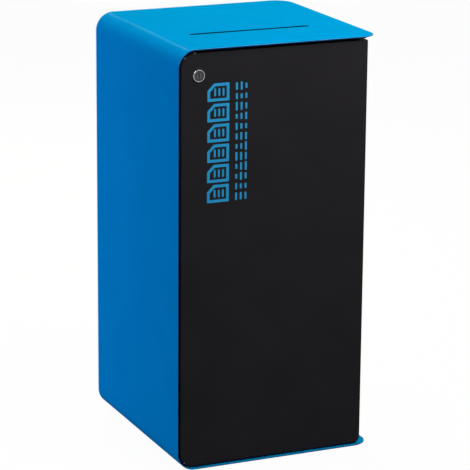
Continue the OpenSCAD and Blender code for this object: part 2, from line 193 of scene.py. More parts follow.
# %% [markdown]
# ## Powder coat
#
# The sheets are coated with polyester powder: a dry powder sticks to the steel and melts into
# one film in an oven. Two things give it away. The film has an orange peel, soft waves some
# 2 mm long, because it set before it had flowed out flat. And its satin finish comes from a
# fine grain of a few tenths of a millimetre that breaks up the reflections.
#
# A single noise could do for both, but they have different scales and heights, so each has
# its own, worked out from its size in millimetres, and the two heights are added for the bump.
# A third, very large noise changes the colour by a percent or two, as the film is a little
# thicker in some places than in others. Reflection is kept low: the real coat stays
# saturated even where the eye skims over the top plate.

# %% Make the powder coats
PEEL_WAVE = 2.0 * MM
GRAIN = 0.35 * MM
GRAIN_SHARE = 0.15
COAT_RELIEF = 0.02 * MM
FILM_PATCH = 90.0 * MM
SATIN_SPREAD = 0.05


def powder_coat(name, thin_hex, thick_hex, roughness, specular, coat=0.0):
    """Satin polyester powder coat. thin and thick are its colour at the film's two extremes."""
    material, tree, place = new_material(name)
    peel = node(tree, "ShaderNodeTexNoise", {"Vector": place, "Scale": 1 / PEEL_WAVE})
    grain = node(tree, "ShaderNodeTexNoise", {"Vector": place, "Scale": 1 / GRAIN, "Detail": 1.0})
    height = node(tree, "ShaderNodeMath", {0: grain, 1: GRAIN_SHARE, 2: peel}, operation="MULTIPLY_ADD")
    bump = node(tree, "ShaderNodeBump", {"Height": height, "Strength": 0.6, "Distance": COAT_RELIEF})
    film = node(tree, "ShaderNodeTexNoise", {"Vector": place, "Scale": 1 / FILM_PATCH})
    satin = node(tree, "ShaderNodeMapRange", {
        "Value": grain, **NOISE_SPAN,
        "To Min": roughness - SATIN_SPREAD, "To Max": roughness + SATIN_SPREAD})
    shader = node(tree, "ShaderNodeBsdfPrincipled", {
        "Base Color": colour_between(tree, film, thin_hex, thick_hex),
        "Roughness": satin,
        "Specular IOR Level": specular,
        "Coat Weight": coat,
        "Coat Roughness": 0.12,
        "Normal": bump,
    })
    node(tree, "ShaderNodeOutputMaterial", {"Surface": shader})
    return material


blue_coat = powder_coat("blue_powder_coat", "00A1E6", "009EE3", 0.55, 0.0, coat=0.004)
# A lighter blue on the rounded edges is a painted highlight; their gloss is real.
edge_blue_with_painted_highlight = powder_coat("blue_powder_coat_with_painted_highlight_on_rounded_edges", "1FB0E8", "18AAE4", 0.40, 0.80, coat=1.0)
# A darker blue on the cut faces is painted shade.
cut_face_blue_painted_shade = powder_coat("blue_powder_coat_with_painted_shade_on_cut_faces", "0D4298", "0A3C8C", 0.50, 0.05)
# A near-black blue on the slot's walls is painted shade inside the slot.
slot_wall_painted_shade = powder_coat("painted_shade_in_the_slot", "021238", "020F30", 0.60, 0.0)
door_coat = powder_coat("black_door_powder_coat", "333135", "2F2D31", 0.50, 0.02)
cabinet_coat = powder_coat("black_cabinet_powder_coat", "2A2A2C", "262628", 0.50, 0.08)
coats = (blue_coat, edge_blue_with_painted_highlight, cut_face_blue_painted_shade, slot_wall_painted_shade, door_coat, cabinet_coat)
print("powder coats:", [material.name for material in coats])

# %% [markdown]
# ## Metals
#
# The small parts are bare or plated metal: bright zinc on the pressed and turned steel, chrome
# on the lock's die-cast housing, darker nickel on its plug, a lighter nickel on the plug's
# turned middle as a painted highlight, a near-black metal deep in the keyway as painted shade,
# drawn wire for the ring, and bare steel where the coat has worn off in the door's notches. A
# metal in Blender is Metallic 1 with its reflectance as base colour, and keeps the default
# IOR. What tells them apart is roughness and its pattern: zinc plate is slightly cloudy,
# chrome has almost no texture, and drawn wire has fine lines along its length. Real scratches
# are finer than these, which are drawn as coarse as they need to be to show.

# %% Make the plated and bare metals
SCRATCHES_PER_CLOUD = 8
SCRATCH_RELIEF = 0.01 * MM


def plated_metal(name, light_hex, dark_hex, roughness, spread, cloud_mm, stretch=(1, 1, 1)):
    """Metal whose colour and roughness change in clouds, which stretch can draw out."""
    material, tree, place = new_material(name)
    clouds = 1 / (cloud_mm * MM)
    drawn = node(tree, "ShaderNodeMapping", {"Vector": place, "Scale": stretch})
    cloud = node(tree, "ShaderNodeTexNoise", {"Vector": drawn, "Scale": clouds, "Detail": 3.0})
    scratch = node(tree, "ShaderNodeTexNoise", {
        "Vector": drawn, "Scale": SCRATCHES_PER_CLOUD * clouds, "Detail": 1.0})
    bump = node(tree, "ShaderNodeBump", {
        "Height": scratch, "Strength": 0.3, "Distance": SCRATCH_RELIEF})
    shine = node(tree, "ShaderNodeMapRange", {
        "Value": cloud, **NOISE_SPAN, "To Min": roughness - spread, "To Max": roughness + spread})
    shader = node(tree, "ShaderNodeBsdfPrincipled", {
        "Base Color": colour_between(tree, cloud, light_hex, dark_hex),
        "Metallic": 1.0,
        "Roughness": shine,
        "Normal": bump,
    })
    node(tree, "ShaderNodeOutputMaterial", {"Surface": shader})
    return material


zinc = plated_metal("bright_zinc_plate", "C9CCCE", "B4B8BC", 0.30, 0.08, 3.0)
chrome = plated_metal("bright_chrome_plate", "D2D2D4", "B8B8BA", 0.15, 0.04, 4.0)
plug_nickel = plated_metal("dark_nickel_plate", "4A4A4C", "3C3C3E", 0.28, 0.06, 1.5)
# Lighter than the plug's nickel: a painted highlight on the turned middle.
boss_nickel_painted_highlight = plated_metal("boss_nickel_painted_highlight_plate", "5E5E60", "525254", 0.22, 0.05, 1.0, (1, 1, 6))
# Near black: painted shade deep in the keyway.
keyway_painted_shade = plated_metal("painted_shade_in_the_keyway", "0E0D0C", "0A0908", 0.45, 0.05, 1.0)
bare_steel = plated_metal("bare_steel_in_the_notches", "E4E4E0", "CCCCC8", 0.25, 0.06, 1.0)
drawn_wire = plated_metal(
    "drawn_zinc_plated_wire", "C4C7CA", "AEB2B6", 0.32, 0.08, 4.0, stretch=(1, 0.15, 1))
metals = (zinc, chrome, plug_nickel, boss_nickel_painted_highlight, keyway_painted_shade, bare_steel, drawn_wire)
print("metals:", [material.name for material in metals])

# %% [markdown]
# ## Screw threads
#
# The lock's barrel and the pivot's studs carry screw threads. Cut threads would cost thousands
# of faces for something a millimetre high, so the flanks are a bump: a triangle wave along the
# axis, whose phase grows by one pitch in each turn, which makes a true helix. The wave runs
# from 0 to a half, so 1.2 times the pitch gives the depth of a real thread, about 0.6 pitch.

# %% Make the threaded metals
FLANK_PER_PITCH = 1.2
THREAD_CLOUD = 3.0 * MM


def threaded_metal(name, light_hex, dark_hex, roughness, pitch_mm, along, across, axis_place):
    """Metal with a screw thread round an axis. along and across are its coordinates' names."""
    material, tree, place = new_material(name)
    pitch = pitch_mm * MM
    parts = node(tree, "ShaderNodeSeparateXYZ", {0: place}).outputs
    arms = [node(tree, "ShaderNodeMath", {0: parts[letter], 1: middle}, operation="SUBTRACT")
            for letter, middle in zip(across, axis_place)]
    angle = node(tree, "ShaderNodeMath", {0: arms[0], 1: arms[1]}, operation="ARCTAN2")
    turns = node(tree, "ShaderNodeMath", {0: angle, 1: 1 / math.tau}, operation="MULTIPLY")
    phase = node(tree, "ShaderNodeMath", {
        0: parts[along], 1: 1 / pitch, 2: turns}, operation="MULTIPLY_ADD")
    flank = node(tree, "ShaderNodeMath", {0: phase, 1: 0.5}, operation="PINGPONG")
    bump = node(tree, "ShaderNodeBump", {
        "Height": flank, "Strength": 1.0, "Distance": FLANK_PER_PITCH * pitch})
    cloud = node(tree, "ShaderNodeTexNoise", {"Vector": place, "Scale": 1 / THREAD_CLOUD})
    shader = node(tree, "ShaderNodeBsdfPrincipled", {
        "Base Color": colour_between(tree, cloud, light_hex, dark_hex),
        "Metallic": 1.0,
        "Roughness": roughness,
        "Normal": bump,
    })
    node(tree, "ShaderNodeOutputMaterial", {"Surface": shader})
    return material


barrel_thread = threaded_metal(
    "chrome_plated_thread", "D2D2D4", "B8B8BA", 0.20, 1.0, "Y", "XZ", (LOCK_X, LOCK_Z))
stud_x = (stud_low.x + stud_high.x) / 2
stud_y = stud_low.y + (stud_high.x - stud_low.x) / 2
stud_thread = threaded_metal(
    "zinc_plated_thread", "C9CCCE", "B4B8BC", 0.30, 0.8, "Z", "XY", (stud_x, stud_y))
print("threads:", [material.name for material in (barrel_thread, stud_thread)])

# %% [markdown]
# ## Nylon, rubber and ink
#
# The pivot bushes are moulded nylon, with a satin skin. The feet and the buffers are moulded
# rubber, dull and finely grained. The marks on the door are screen printed: an opaque ink that
# lies on the coat as a thin film and takes on a soft, even shine.

# %% Make the moulded materials and the ink
DULL_SPREAD = 0.06


def dull_material(name, light_hex, dark_hex, roughness, grain_mm, relief_mm, specular=0.5):
    """A non-metal with one grain that sets its relief, its roughness and its colour."""
    material, tree, place = new_material(name)
    grain = node(tree, "ShaderNodeTexNoise", {"Vector": place, "Scale": 1 / (grain_mm * MM)})
    bump = node(tree, "ShaderNodeBump", {
        "Height": grain, "Strength": 0.5, "Distance": relief_mm * MM})
    dull = node(tree, "ShaderNodeMapRange", {
        "Value": grain, **NOISE_SPAN,
        "To Min": roughness - DULL_SPREAD, "To Max": roughness + DULL_SPREAD})
    shader = node(tree, "ShaderNodeBsdfPrincipled", {
        "Base Color": colour_between(tree, grain, light_hex, dark_hex),
        "Roughness": dull,
        "Specular IOR Level": specular,
        "Normal": bump,
    })
    node(tree, "ShaderNodeOutputMaterial", {"Surface": shader})
    return material


black_nylon = dull_material("moulded_black_nylon", "1D1D1E", "171718", 0.42, 0.8, 0.02)
black_rubber = dull_material("moulded_black_rubber", "181818", "111111", 0.75, 0.5, 0.05, 0.3)
blue_ink = dull_material("blue_screen_print_ink", "38C0FF", "34BBFF", 0.50, 0.6, 0.01, 0.10)
print("dull materials:", [material.name for material in (black_nylon, black_rubber, blue_ink)])

# %% [markdown]
# ## Dress the CAD nodes
#
# Each CAD node gets the material of its real finish. The names on the left are the finishes
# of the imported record, so the dictionary also shows that none is forgotten.

# %% Give every node its finish
FINISHES = {
    "shell_blue": blue_coat, "cabinet_black": cabinet_coat, "door_black": door_coat,
    "zinc": zinc, "lock_chrome": chrome, "plug_metal": plug_nickel,
    "bush_nylon": black_nylon, "rubber": black_rubber, "ring_wire": drawn_wire,
}
finish_of = {part["node"]: part["material_slot"] for part in frame["record"]["subparts"]}
body_of = {name: cad["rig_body"] for name, cad in frame["nodes"].items()}
for name, cad in frame["nodes"].items():
    cad.data.materials.clear()
    cad.data.materials.append(FINISHES[finish_of[name]])
print("finishes in use:", sorted(set(finish_of.values())))

# %% [markdown]
# ## From a node tree to a piece
#
# Three kinds of piece below are made with Geometry Nodes: the bent sheet and the two columns
# of print. Each tree has its sizes as named inputs. A modifier could stay on the object, but
# the frame needs plain meshes, so the tree is run once and its result kept. Booleans leave
# doubled points and faces cut in strips, and one function clears both.

# %% Helpers to start, end and run a Geometry Nodes tree
def start_tree(name, sizes):
    """A tree with a geometry input and named inputs. Returns it and its input sockets."""
    tree = bpy.data.node_groups.new(name, "GeometryNodeTree")
    tree.interface.new_socket("Geometry", in_out="INPUT", socket_type="NodeSocketGeometry")
    for size, kind in sizes.items():
        tree.interface.new_socket(size, in_out="INPUT", socket_type="NodeSocket" + kind)
    tree.interface.new_socket("Geometry", in_out="OUTPUT", socket_type="NodeSocketGeometry")
    return tree, node(tree, "NodeGroupInput").outputs


def end_tree(tree, geometry, material):
    """Makes instances real, because an export drops them, and sets the material."""
    real = node(tree, "GeometryNodeRealizeInstances", {"Geometry": geometry})
    dressed = node(tree, "GeometryNodeSetMaterial", {"Geometry": real, "Material": material})
    node(tree, "NodeGroupOutput", {"Geometry": dressed})
    print(tree.name, "has", len(tree.nodes), "nodes")


def run_tree(tree, name, values, start=None):
    """Runs a tree on a mesh or curve, and returns the result as a plain mesh object."""
    seed = bpy.data.objects.new(name + "_seed", start or bpy.data.meshes.new(name + "_seed"))
    bpy.context.scene.collection.objects.link(seed)
    modifier = seed.modifiers.new("build", "NODES")
    modifier.node_group = tree
    for socket in tree.interface.items_tree:
        if socket.in_out == "INPUT" and socket.name in values:
            modifier[socket.identifier] = values[socket.name]
    evaluated = seed.evaluated_get(bpy.context.evaluated_depsgraph_get())
    piece = bpy.data.objects.new(name, bpy.data.meshes.new_from_object(evaluated))
    bpy.data.objects.remove(seed)
    bpy.context.scene.collection.objects.link(piece)
    return piece


print("node groups so far:", len(bpy.data.node_groups))

# %% A helper that cleans a mesh
SAME_POINT = 0.001 * MM
FLAT = math.radians(0.5)


def clean(piece):
    """Merges doubles, joins faces that lie in one plane and turns every face outwards."""
    work = bmesh.new()
    work.from_mesh(piece.data)
    bmesh.ops.remove_doubles(work, verts=work.verts, dist=SAME_POINT)
    bmesh.ops.dissolve_limit(work, angle_limit=FLAT, verts=work.verts, edges=work.edges)
    bmesh.ops.recalc_face_normals(work, faces=work.faces)
    open_edges = sum(not edge.is_manifold for edge in work.edges)
    work.to_mesh(piece.data)
    work.free()
    print(piece.name, "has", len(piece.data.polygons), "faces and", open_edges, "open edges")


print("points closer than", SAME_POINT, "m are merged")

# %% [markdown]
# ## The shell, swept and cut
#
# The shell is one 1.5 mm sheet. In the workshop it is a flat blank with round corners and a
# slot, which a press brake bends twice. In Blender it could be a box with faces deleted, but a
# rule describes it better: a rectangular section swept along a path of three straight lines
# whose corners have the bend radius, cut to a rounded outline seen from above, less the slot.
# Geometry Nodes say exactly that, with each size as a named input.

# %% Two shapes that the trees draw with
def prism(tree, outline, foot, height):
    """A closed prism over a flat outline, standing on the point foot."""
    tip = node(tree, "ShaderNodeCombineXYZ", {"Z": height})
    rise = node(tree, "GeometryNodeCurvePrimitiveLine", {"Start": (0, 0, 0), "End": tip})
    solid = node(tree, "GeometryNodeCurveToMesh", {
        "Curve": rise, "Profile Curve": outline, "Fill Caps": True})
    return node(tree, "GeometryNodeTransform", {"Geometry": solid, "Translation": foot})


def rounded(tree, width, height, radius, points=24):
    """A rectangle's outline with rounded corners. radius may be a field."""
    plain = node(tree, "GeometryNodeCurvePrimitiveQuadrilateral", {"Width": width, "Height": height})
    return node(tree, "GeometryNodeFilletCurve", {
        "Curve": plain, "Count": points, "Radius": radius, "Limit Radius": True}, mode="POLY")


print("the trees draw with", prism.__name__, "and", rounded.__name__)

# %% The shell's tree
CUTTER_DEPTH = 10 * MM
CUTTER_HEIGHT = 1.0
SLOT_CUTTER_HEIGHT = 20 * MM
# A full half would double the point where two corners meet.
SLOT_END_SHARE = 0.499

shell_tree, given = start_tree("bent_sheet", {
    "Width": "Float", "Depth": "Float", "Sheet": "Float", "Bend radius": "Float",
    "Corner radius": "Float", "Slot length": "Float", "Slot width": "Float", "Slot place": "Vector"})
path = node(shell_tree, "GeometryNodeFilletCurve", {
    "Curve": given["Geometry"], "Count": 28, "Radius": given["Bend radius"]}, mode="POLY")
section = node(shell_tree, "GeometryNodeCurvePrimitiveQuadrilateral", {
    "Width": given["Depth"], "Height": given["Sheet"]})
swept = node(shell_tree, "GeometryNodeCurveToMesh", {
    "Curve": path, "Profile Curve": section, "Fill Caps": True})

corner_place = node(shell_tree, "GeometryNodeInputPosition")
corner_parts = node(shell_tree, "ShaderNodeSeparateXYZ", {0: corner_place}).outputs
on_right = node(shell_tree, "ShaderNodeMath", {0: corner_parts["X"], 1: 0.0}, operation="GREATER_THAN")
free_corner = node(shell_tree, "ShaderNodeMath", {
    0: on_right, 1: given["Corner radius"]}, operation="MULTIPLY")
outline = rounded(shell_tree, given["Width"], given["Depth"], free_corner)
plates = prism(shell_tree, outline, (0, 0, -CUTTER_DEPTH), CUTTER_HEIGHT)
trimmed = node(
    shell_tree, "GeometryNodeMeshBoolean", {"Mesh 2": swept}, operation="INTERSECT", solver="MANIFOLD")
shell_tree.links.new(plates.outputs[0], trimmed.inputs["Mesh 2"])

half_slot = node(shell_tree, "ShaderNodeMath", {
    0: given["Slot width"], 1: SLOT_END_SHARE}, operation="MULTIPLY")
slot_outline = rounded(shell_tree, given["Slot length"], given["Slot width"], half_slot, points=12)
slot = prism(shell_tree, slot_outline, given["Slot place"], SLOT_CUTTER_HEIGHT)
slotted = node(shell_tree, "GeometryNodeMeshBoolean", {
    "Mesh 1": trimmed, "Mesh 2": slot}, operation="DIFFERENCE", solver="MANIFOLD")
end_tree(shell_tree, slotted, blue_coat)

# %% [markdown]
# ## Bend the shell
#
# The path of the sweep is the sheet's middle line, seen from the front: the bottom plate from
# right to left, the side upwards, and the top plate back to the right. Half a sheet's
# thickness lies on each side of it, so it runs half a sheet inside the shell's box.

# %% Build the shell
BEND_RADIUS = 32 * MM
CORNER_RADIUS = 32 * MM
SLOT_LENGTH = 223 * MM
SLOT_WIDTH = 10 * MM
SLOT_BACK = 125 * MM

left, right = shell_low.x + SHEET / 2, shell_high.x
bottom, top = shell_low.z + SHEET / 2, shell_high.z - SHEET / 2
line = bpy.data.curves.new("bend_line", "CURVE")
line.dimensions = "3D"
spline = line.splines.new("POLY")
spline.points.add(3)
corners = [(right, bottom), (left, bottom), (left, top), (right, top)]
for point, (x, z) in zip(spline.points, corners):
    point.co = (x, 0, z, 1)

bent_shell = run_tree(shell_tree, "bent_shell", {
    "Width": shell_high.x - shell_low.x,
    "Depth": shell_high.y - shell_low.y,
    "Sheet": SHEET,
    "Bend radius": BEND_RADIUS - SHEET / 2,
    "Corner radius": CORNER_RADIUS,
    "Slot length": SLOT_LENGTH,
    "Slot width": SLOT_WIDTH,
    "Slot place": (0, shell_low.y + SLOT_BACK, shell_high.z - 5 * SHEET),
}, line)
clean(bent_shell)

# %% [markdown]
# ## Rounded edges
#
# A sheet's edge isn't knife sharp. It is deburred and then gains a film of powder, which leaves
# a radius of some tenths of a millimetre that catches a thin line of light. A Bevel modifier
# makes that radius wherever two faces meet at an angle, and Weighted Normal keeps the large
# faces flat beside it. The shell gets a glossier material there, through the bevel's own
# material slot, and its colour is a lighter blue: a painted highlight along the edge.
#
# Not every edge of the shell is as round. The slot is punched and stays nearly sharp, and the
# bottom plate, which nobody touches, is deburred less. So each edge has its own share of the
# radius, as a bevel weight. The cut faces round the sheet are a darker blue, which is painted
# shade, and the slot's walls are near black, which is painted shade inside the slot.

# %% A helper that rounds edges
SHARP = math.radians(35)


def round_edges(piece, radius_mm, edge_material=None, segments=3, share_at=None):
    """Bevels sharp edges and shades the piece smooth. share_at(middle) is an edge's share of it."""
    for face in piece.data.polygons:
        face.use_smooth = True
    bevel = piece.modifiers.new("rounded edges", "BEVEL")
    bevel.width = radius_mm * MM
    bevel.segments = segments
    bevel.limit_method = "WEIGHT" if share_at else "ANGLE"
    bevel.angle_limit = SHARP
    if share_at:
        work = bmesh.new()
        work.from_mesh(piece.data)
        share = work.edges.layers.float.new("bevel_weight_edge")
        for edge in work.edges:
            if edge.calc_face_angle(0) > SHARP:
                edge[share] = share_at((edge.verts[0].co + edge.verts[1].co) / 2)
        work.to_mesh(piece.data)
        work.free()
    if edge_material:
        piece.data.materials.append(edge_material)
        bevel.material = len(piece.data.materials) - 1
    flat = piece.modifiers.new("flat faces stay flat", "WEIGHTED_NORMAL")
    flat.keep_sharp = True


print("edges over", round(math.degrees(SHARP)), "degrees are rounded")

# %% Paint shade on the shell's cut faces and round its edges
SHELL_EDGE_MM = 0.70
SLOT_EDGE_SHARE = 0.12
BOTTOM_EDGE_SHARE = 0.3


def in_slot(point):
    """True on the slot's walls and their edges, with a tenth of its size to spare."""
    in_top = point.z > shell_high.z - 1.5 * SHEET
    across = abs(point.y - shell_low.y - SLOT_BACK)
    return in_top and across < 0.6 * SLOT_WIDTH and abs(point.x) < 0.6 * SLOT_LENGTH


def edge_share(middle):
    """The slot's edges are nearly sharp, and those of the bottom plate are less round."""
    if in_slot(middle):
        return SLOT_EDGE_SHARE
    return BOTTOM_EDGE_SHARE if middle.z < shell_low.z + 1.5 * SHEET else 1.0


bent_shell.data.materials.clear()
for material in (blue_coat, cut_face_blue_painted_shade, slot_wall_painted_shade):
    bent_shell.data.materials.append(material)
# Cut faces get the darker blue and the slot's walls the near-black blue: both are painted shade.
for face in bent_shell.data.polygons:
    upright = abs(face.normal.z) < 0.01
    on_side = face.center.x < shell_low.x + BEND_RADIUS and abs(face.normal.y) < 0.01
    if upright and not on_side:
        face.material_index = 2 if in_slot(face.center) else 1
print("cut faces:", sum(face.material_index > 0 for face in bent_shell.data.polygons))
round_edges(bent_shell, SHELL_EDGE_MM, edge_blue_with_painted_highlight, share_at=edge_share)
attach(bent_shell, body_of["shell"])
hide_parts("shell")

# %% [markdown]
# ## Folded panels
#
# The door, the panels and the angles already have the right shape in the frame, but their
# edges are sharp. A frame node is never changed, so each gets a copy whose loose triangles are
# merged first: a bevel only follows edges that faces share. The radius is a quarter to a third
# of the sheet's thickness.

# %% Copy the sheet-metal nodes with rounded edges
def rounded_copy(node_name, radius_mm):
    """A copy of a node with merged faces and rounded edges, which stands for the node."""
    piece = bpy.data.objects.new(node_name + "_rounded", frame["nodes"][node_name].data.copy())
    bpy.context.scene.collection.objects.link(piece)
    clean(piece)
    round_edges(piece, radius_mm, segments=2)
    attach(piece, body_of[node_name])
    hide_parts(node_name)
    return piece


SHEET_NODES = {
    "door_skin": 0.35, "door_stiffener": 0.3, "back_panel": 0.4, "right_panel": 0.4,
    "left_stop": 0.4, "header_stop": 0.4, "sill_stop": 0.4,
}
panels = {name: rounded_copy(name, radius) for name, radius in SHEET_NODES.items()}

# %% [markdown]
# ## Bare steel in the notches
#
# Where the door's side is folded round a corner, small notches let the metal give way. Their
# faces are bare steel and glint. Powder hides the one notch that lies on the side. The faces
# need no selection by hand: they lie a known depth behind the door's face and a known bite
# inside the corner's radius, and face along the corner, outwards or to the front.

# %% Find the bare faces
CORNER_FOLD = BEND_RADIUS - (door_low.x - shell_low.x)
NOTCH_DEEP = 3 * MM
NOTCH_BITE = 1.1 * MM
PAST_CORNER = 1.0 * MM
SIDE_NOTCH = 2.0 * MM


def notch_face(face, centre, side):
    """True on the bare faces of the notches round a corner. Factors near 1 allow for rounding."""
    out = Vector((face.center.x, 0, face.center.z)) - centre
    down = face.center.y - DOOR_FACE
    bite = CORNER_FOLD - out.length
    if out.x > PAST_CORNER or out.z * side < SIDE_NOTCH:
        return False
    if not (0 < down < 1.01 * NOTCH_DEEP and 0.01 * MM < bite < 1.05 * NOTCH_BITE):
        return False
    outward = out.normalized()
    wall = abs(face.normal.dot(outward.cross(Vector((0, 1, 0))))) > 0.9
    floor = face.normal.dot(outward) > 0.9 and bite > 0.9 * NOTCH_BITE
    end = face.normal.y < -0.9 and down > 0.98 * NOTCH_DEEP
    return wall or floor or end


door_copy = panels["door_skin"]
door_copy.data.materials.append(bare_steel)
for side, height in ((1, door_high.z - CORNER_FOLD), (-1, door_low.z + CORNER_FOLD)):
    centre = Vector((door_low.x + CORNER_FOLD, 0, height))
    for face in door_copy.data.polygons:
        if notch_face(face, centre, side):
            face.material_index = 1
print("bare faces in the notches:", sum(face.material_index for face in door_copy.data.polygons))

# %% [markdown]
# ## Small parts with soft edges
#
# Turned, cast and pressed small parts also have broken edges: a tumbled nut, a moulded foot, a
# die-cast ring. They get the same treatment as the sheets, with a radius that suits each one.
# It matters most on the lock, whose thin bright rim shows from a step away.

# %% Copy the small nodes with rounded edges
SMALL_NODES = {
    "lock_housing": 0.45, "key_plug": 0.12, "lock_nut": 0.25, "lock_cam": 0.30, "cam_screw": 0.15,
    "pivot_nuts": 0.20, "pivot_studs": 0.20, "upper_pivot": 0.30, "lower_pivot": 0.15,
    "upper_bush": 0.20, "lower_bush": 0.20, "feet": 0.40, "stop_buffers": 0.40, "bag_ring": 0.10,
    "ring_saddle_left": 0.30, "ring_saddle_right": 0.30,
    "ring_rest_left": 0.30, "ring_rest_right": 0.30,
}
small_parts = {name: rounded_copy(name, radius) for name, radius in SMALL_NODES.items()}

# %% [markdown]
# ## The face of the plug
#
# The face of the lock's plug has a raised, turned middle round a keyway. The middle gets a
# lighter nickel, a painted highlight, and the keyway a near-black metal, painted shade. Both are
# parts of one solid, so they get their own metals by where they lie.

# %% Turned middle with a painted highlight, keyway with painted shade
BOSS_RADIUS = 4.6 * MM
KEYWAY_END = DOOR_FACE + 12 * MM

plug_copy = small_parts["key_plug"]
plug_copy.data.materials.append(boss_nickel_painted_highlight)
plug_copy.data.materials.append(keyway_painted_shade)
plug_front = min(vertex.co.y for vertex in plug_copy.data.vertices)
# Front faces get the lighter nickel, a painted highlight; the keyway's walls the near-black metal,
# painted shade.
for face in plug_copy.data.polygons:
    off_axis = math.hypot(face.center.x - LOCK_X, face.center.z - LOCK_Z)
    along_axis = off_axis < 0.93 * BOSS_RADIUS and abs(face.normal.y) < 0.5
    if face.center.y < plug_front + 0.01 * MM:
        face.material_index = 1
    elif along_axis and face.center.y < KEYWAY_END:
        face.material_index = 2
for index, finish in ((1, "turned"), (2, "keyway")):
    count = sum(face.material_index == index for face in plug_copy.data.polygons)
    print("the plug has", count, finish, "faces")

# %% [markdown]
# ## Threads
#
# The lock's barrel is an M19 fine thread with two flats, and the studs of the upper pivot are
# M5. Only the round faces get the thread's material, so that the flats stay smooth.

# %% Thread the barrel and the studs
BARREL_RADIUS = 9.2 * MM
BARREL_START = DOOR_FACE + 1.2 * MM

housing_copy = small_parts["lock_housing"]
housing_copy.data.materials.append(barrel_thread)
for face in housing_copy.data.polygons:
    off_axis = math.hypot(face.center.x - LOCK_X, face.center.z - LOCK_Z)
    on_barrel = 0.93 * BARREL_RADIUS < off_axis < 1.01 * BARREL_RADIUS
    if on_barrel and abs(face.normal.y) < 0.5 and face.center.y > BARREL_START:
        face.material_index = 1
studs_copy = small_parts["pivot_studs"]
studs_copy.data.materials.append(stud_thread)
for face in studs_copy.data.polygons:
    face.material_index = int(abs(face.normal.z) < 0.5)
for piece in (housing_copy, studs_copy):
    print(piece.name, "has", sum(face.material_index for face in piece.data.polygons), "threaded faces")

# %% [markdown]
# ## Screen print on the door
#
# The door carries two upright columns of print, in a blue a little lighter than the shell's. The
# wide column is a row of plain sheet-of-paper marks that lie on their side. The narrow one is
# three lines of dashes, like the lines on a written page. A screen leaves a film of ink about
# a tenth of a millimetre thick, so the marks are real solids with that thickness.
#
# An image would be quick, but this script draws everything. Both columns repeat one mark, so
# they are node trees: build the mark once, then instance it on points. A sheet mark is an
# outline with one folded corner, less the same outline made smaller, plus lines. Everything is
# drawn flat, in X and Y, and then stood up against the door.

# %% The outline with a folded corner
UPRIGHT = (math.pi / 2, 0, 0)


def folded_outline(tree, width, height, fold, corner):
    """A rectangle whose upper left corner is cut off by fold, and whose corners are rounded."""
    plain = node(tree, "GeometryNodeCurvePrimitiveQuadrilateral", {"Width": width, "Height": height})
    parts = node(tree, "ShaderNodeSeparateXYZ", {0: node(tree, "GeometryNodeInputPosition")}).outputs
    on_left = node(tree, "ShaderNodeMath", {0: parts["X"], 1: 0.0}, operation="LESS_THAN")
    on_top = node(tree, "ShaderNodeMath", {0: parts["Y"], 1: 0.0}, operation="GREATER_THAN")
    chosen = node(tree, "ShaderNodeMath", {0: on_left, 1: on_top}, operation="MULTIPLY")
    cut_by = node(tree, "ShaderNodeMath", {0: chosen, 1: fold}, operation="MULTIPLY")
    cut = node(tree, "GeometryNodeFilletCurve", {
        "Curve": plain, "Count": 1, "Radius": cut_by, "Limit Radius": True}, mode="POLY")
    return node(tree, "GeometryNodeFilletCurve", {
        "Curve": cut, "Count": 4, "Radius": corner, "Limit Radius": True}, mode="POLY")


print("what is drawn flat is turned up by", [round(math.degrees(angle)) for angle in UPRIGHT])

# %% [markdown]
# ## The sheet mark
#
# The inner outline is the outer one less a stroke on each side. Its cut corner needs a smaller
# fold, or the slanting stroke would be thicker than the others: the fold shrinks by the stroke
# times 2 less the square root of 2, about 0.586. Three bars stand inside the outline, a little
# to the right of its middle and so clear of the cut corner.

# %% The outline of the sheet mark
OUTER_CORNER = 1.5 * MM
INNER_CORNER = 0.4 * MM
FOLD_PER_STROKE = 0.586
HOLE_START = -1 * MM
HOLE_HEIGHT = 10 * MM

sheet_tree, given = start_tree("row_of_sheet_marks", {
    "Width": "Float", "Height": "Float", "Stroke": "Float", "Fold": "Float", "Film": "Float",
    "Bar": "Float", "Count": "Int", "Pitch": "Float", "Place": "Vector"})
both_strokes = node(sheet_tree, "ShaderNodeMath", {0: given["Stroke"], 1: 2.0}, operation="MULTIPLY")
inner_width, inner_height = (
    node(sheet_tree, "ShaderNodeMath", {0: given[size], 1: both_strokes}, operation="SUBTRACT")
    for size in ("Width", "Height"))
fold_loss = node(sheet_tree, "ShaderNodeMath", {
    0: given["Stroke"], 1: FOLD_PER_STROKE}, operation="MULTIPLY")
inner_fold = node(sheet_tree, "ShaderNodeMath", {0: given["Fold"], 1: fold_loss}, operation="SUBTRACT")
outer = folded_outline(sheet_tree, given["Width"], given["Height"], given["Fold"], OUTER_CORNER)
inner = folded_outline(sheet_tree, inner_width, inner_height, inner_fold, INNER_CORNER)
frame_mark = node(sheet_tree, "GeometryNodeMeshBoolean", {
    "Mesh 1": prism(sheet_tree, outer, (0, 0, 0), given["Film"]),
    "Mesh 2": prism(sheet_tree, inner, (0, 0, HOLE_START), HOLE_HEIGHT),
}, operation="DIFFERENCE", solver="MANIFOLD")
print("the mark's outline takes", len(sheet_tree.nodes), "nodes")

# %% The bars in it, and the row of marks
BAR_PER_HEIGHT = 0.44
STEP_PER_WIDTH = 0.19
FIRST_BAR_STEPS = -0.8
BAR_END_SHARE = 0.49

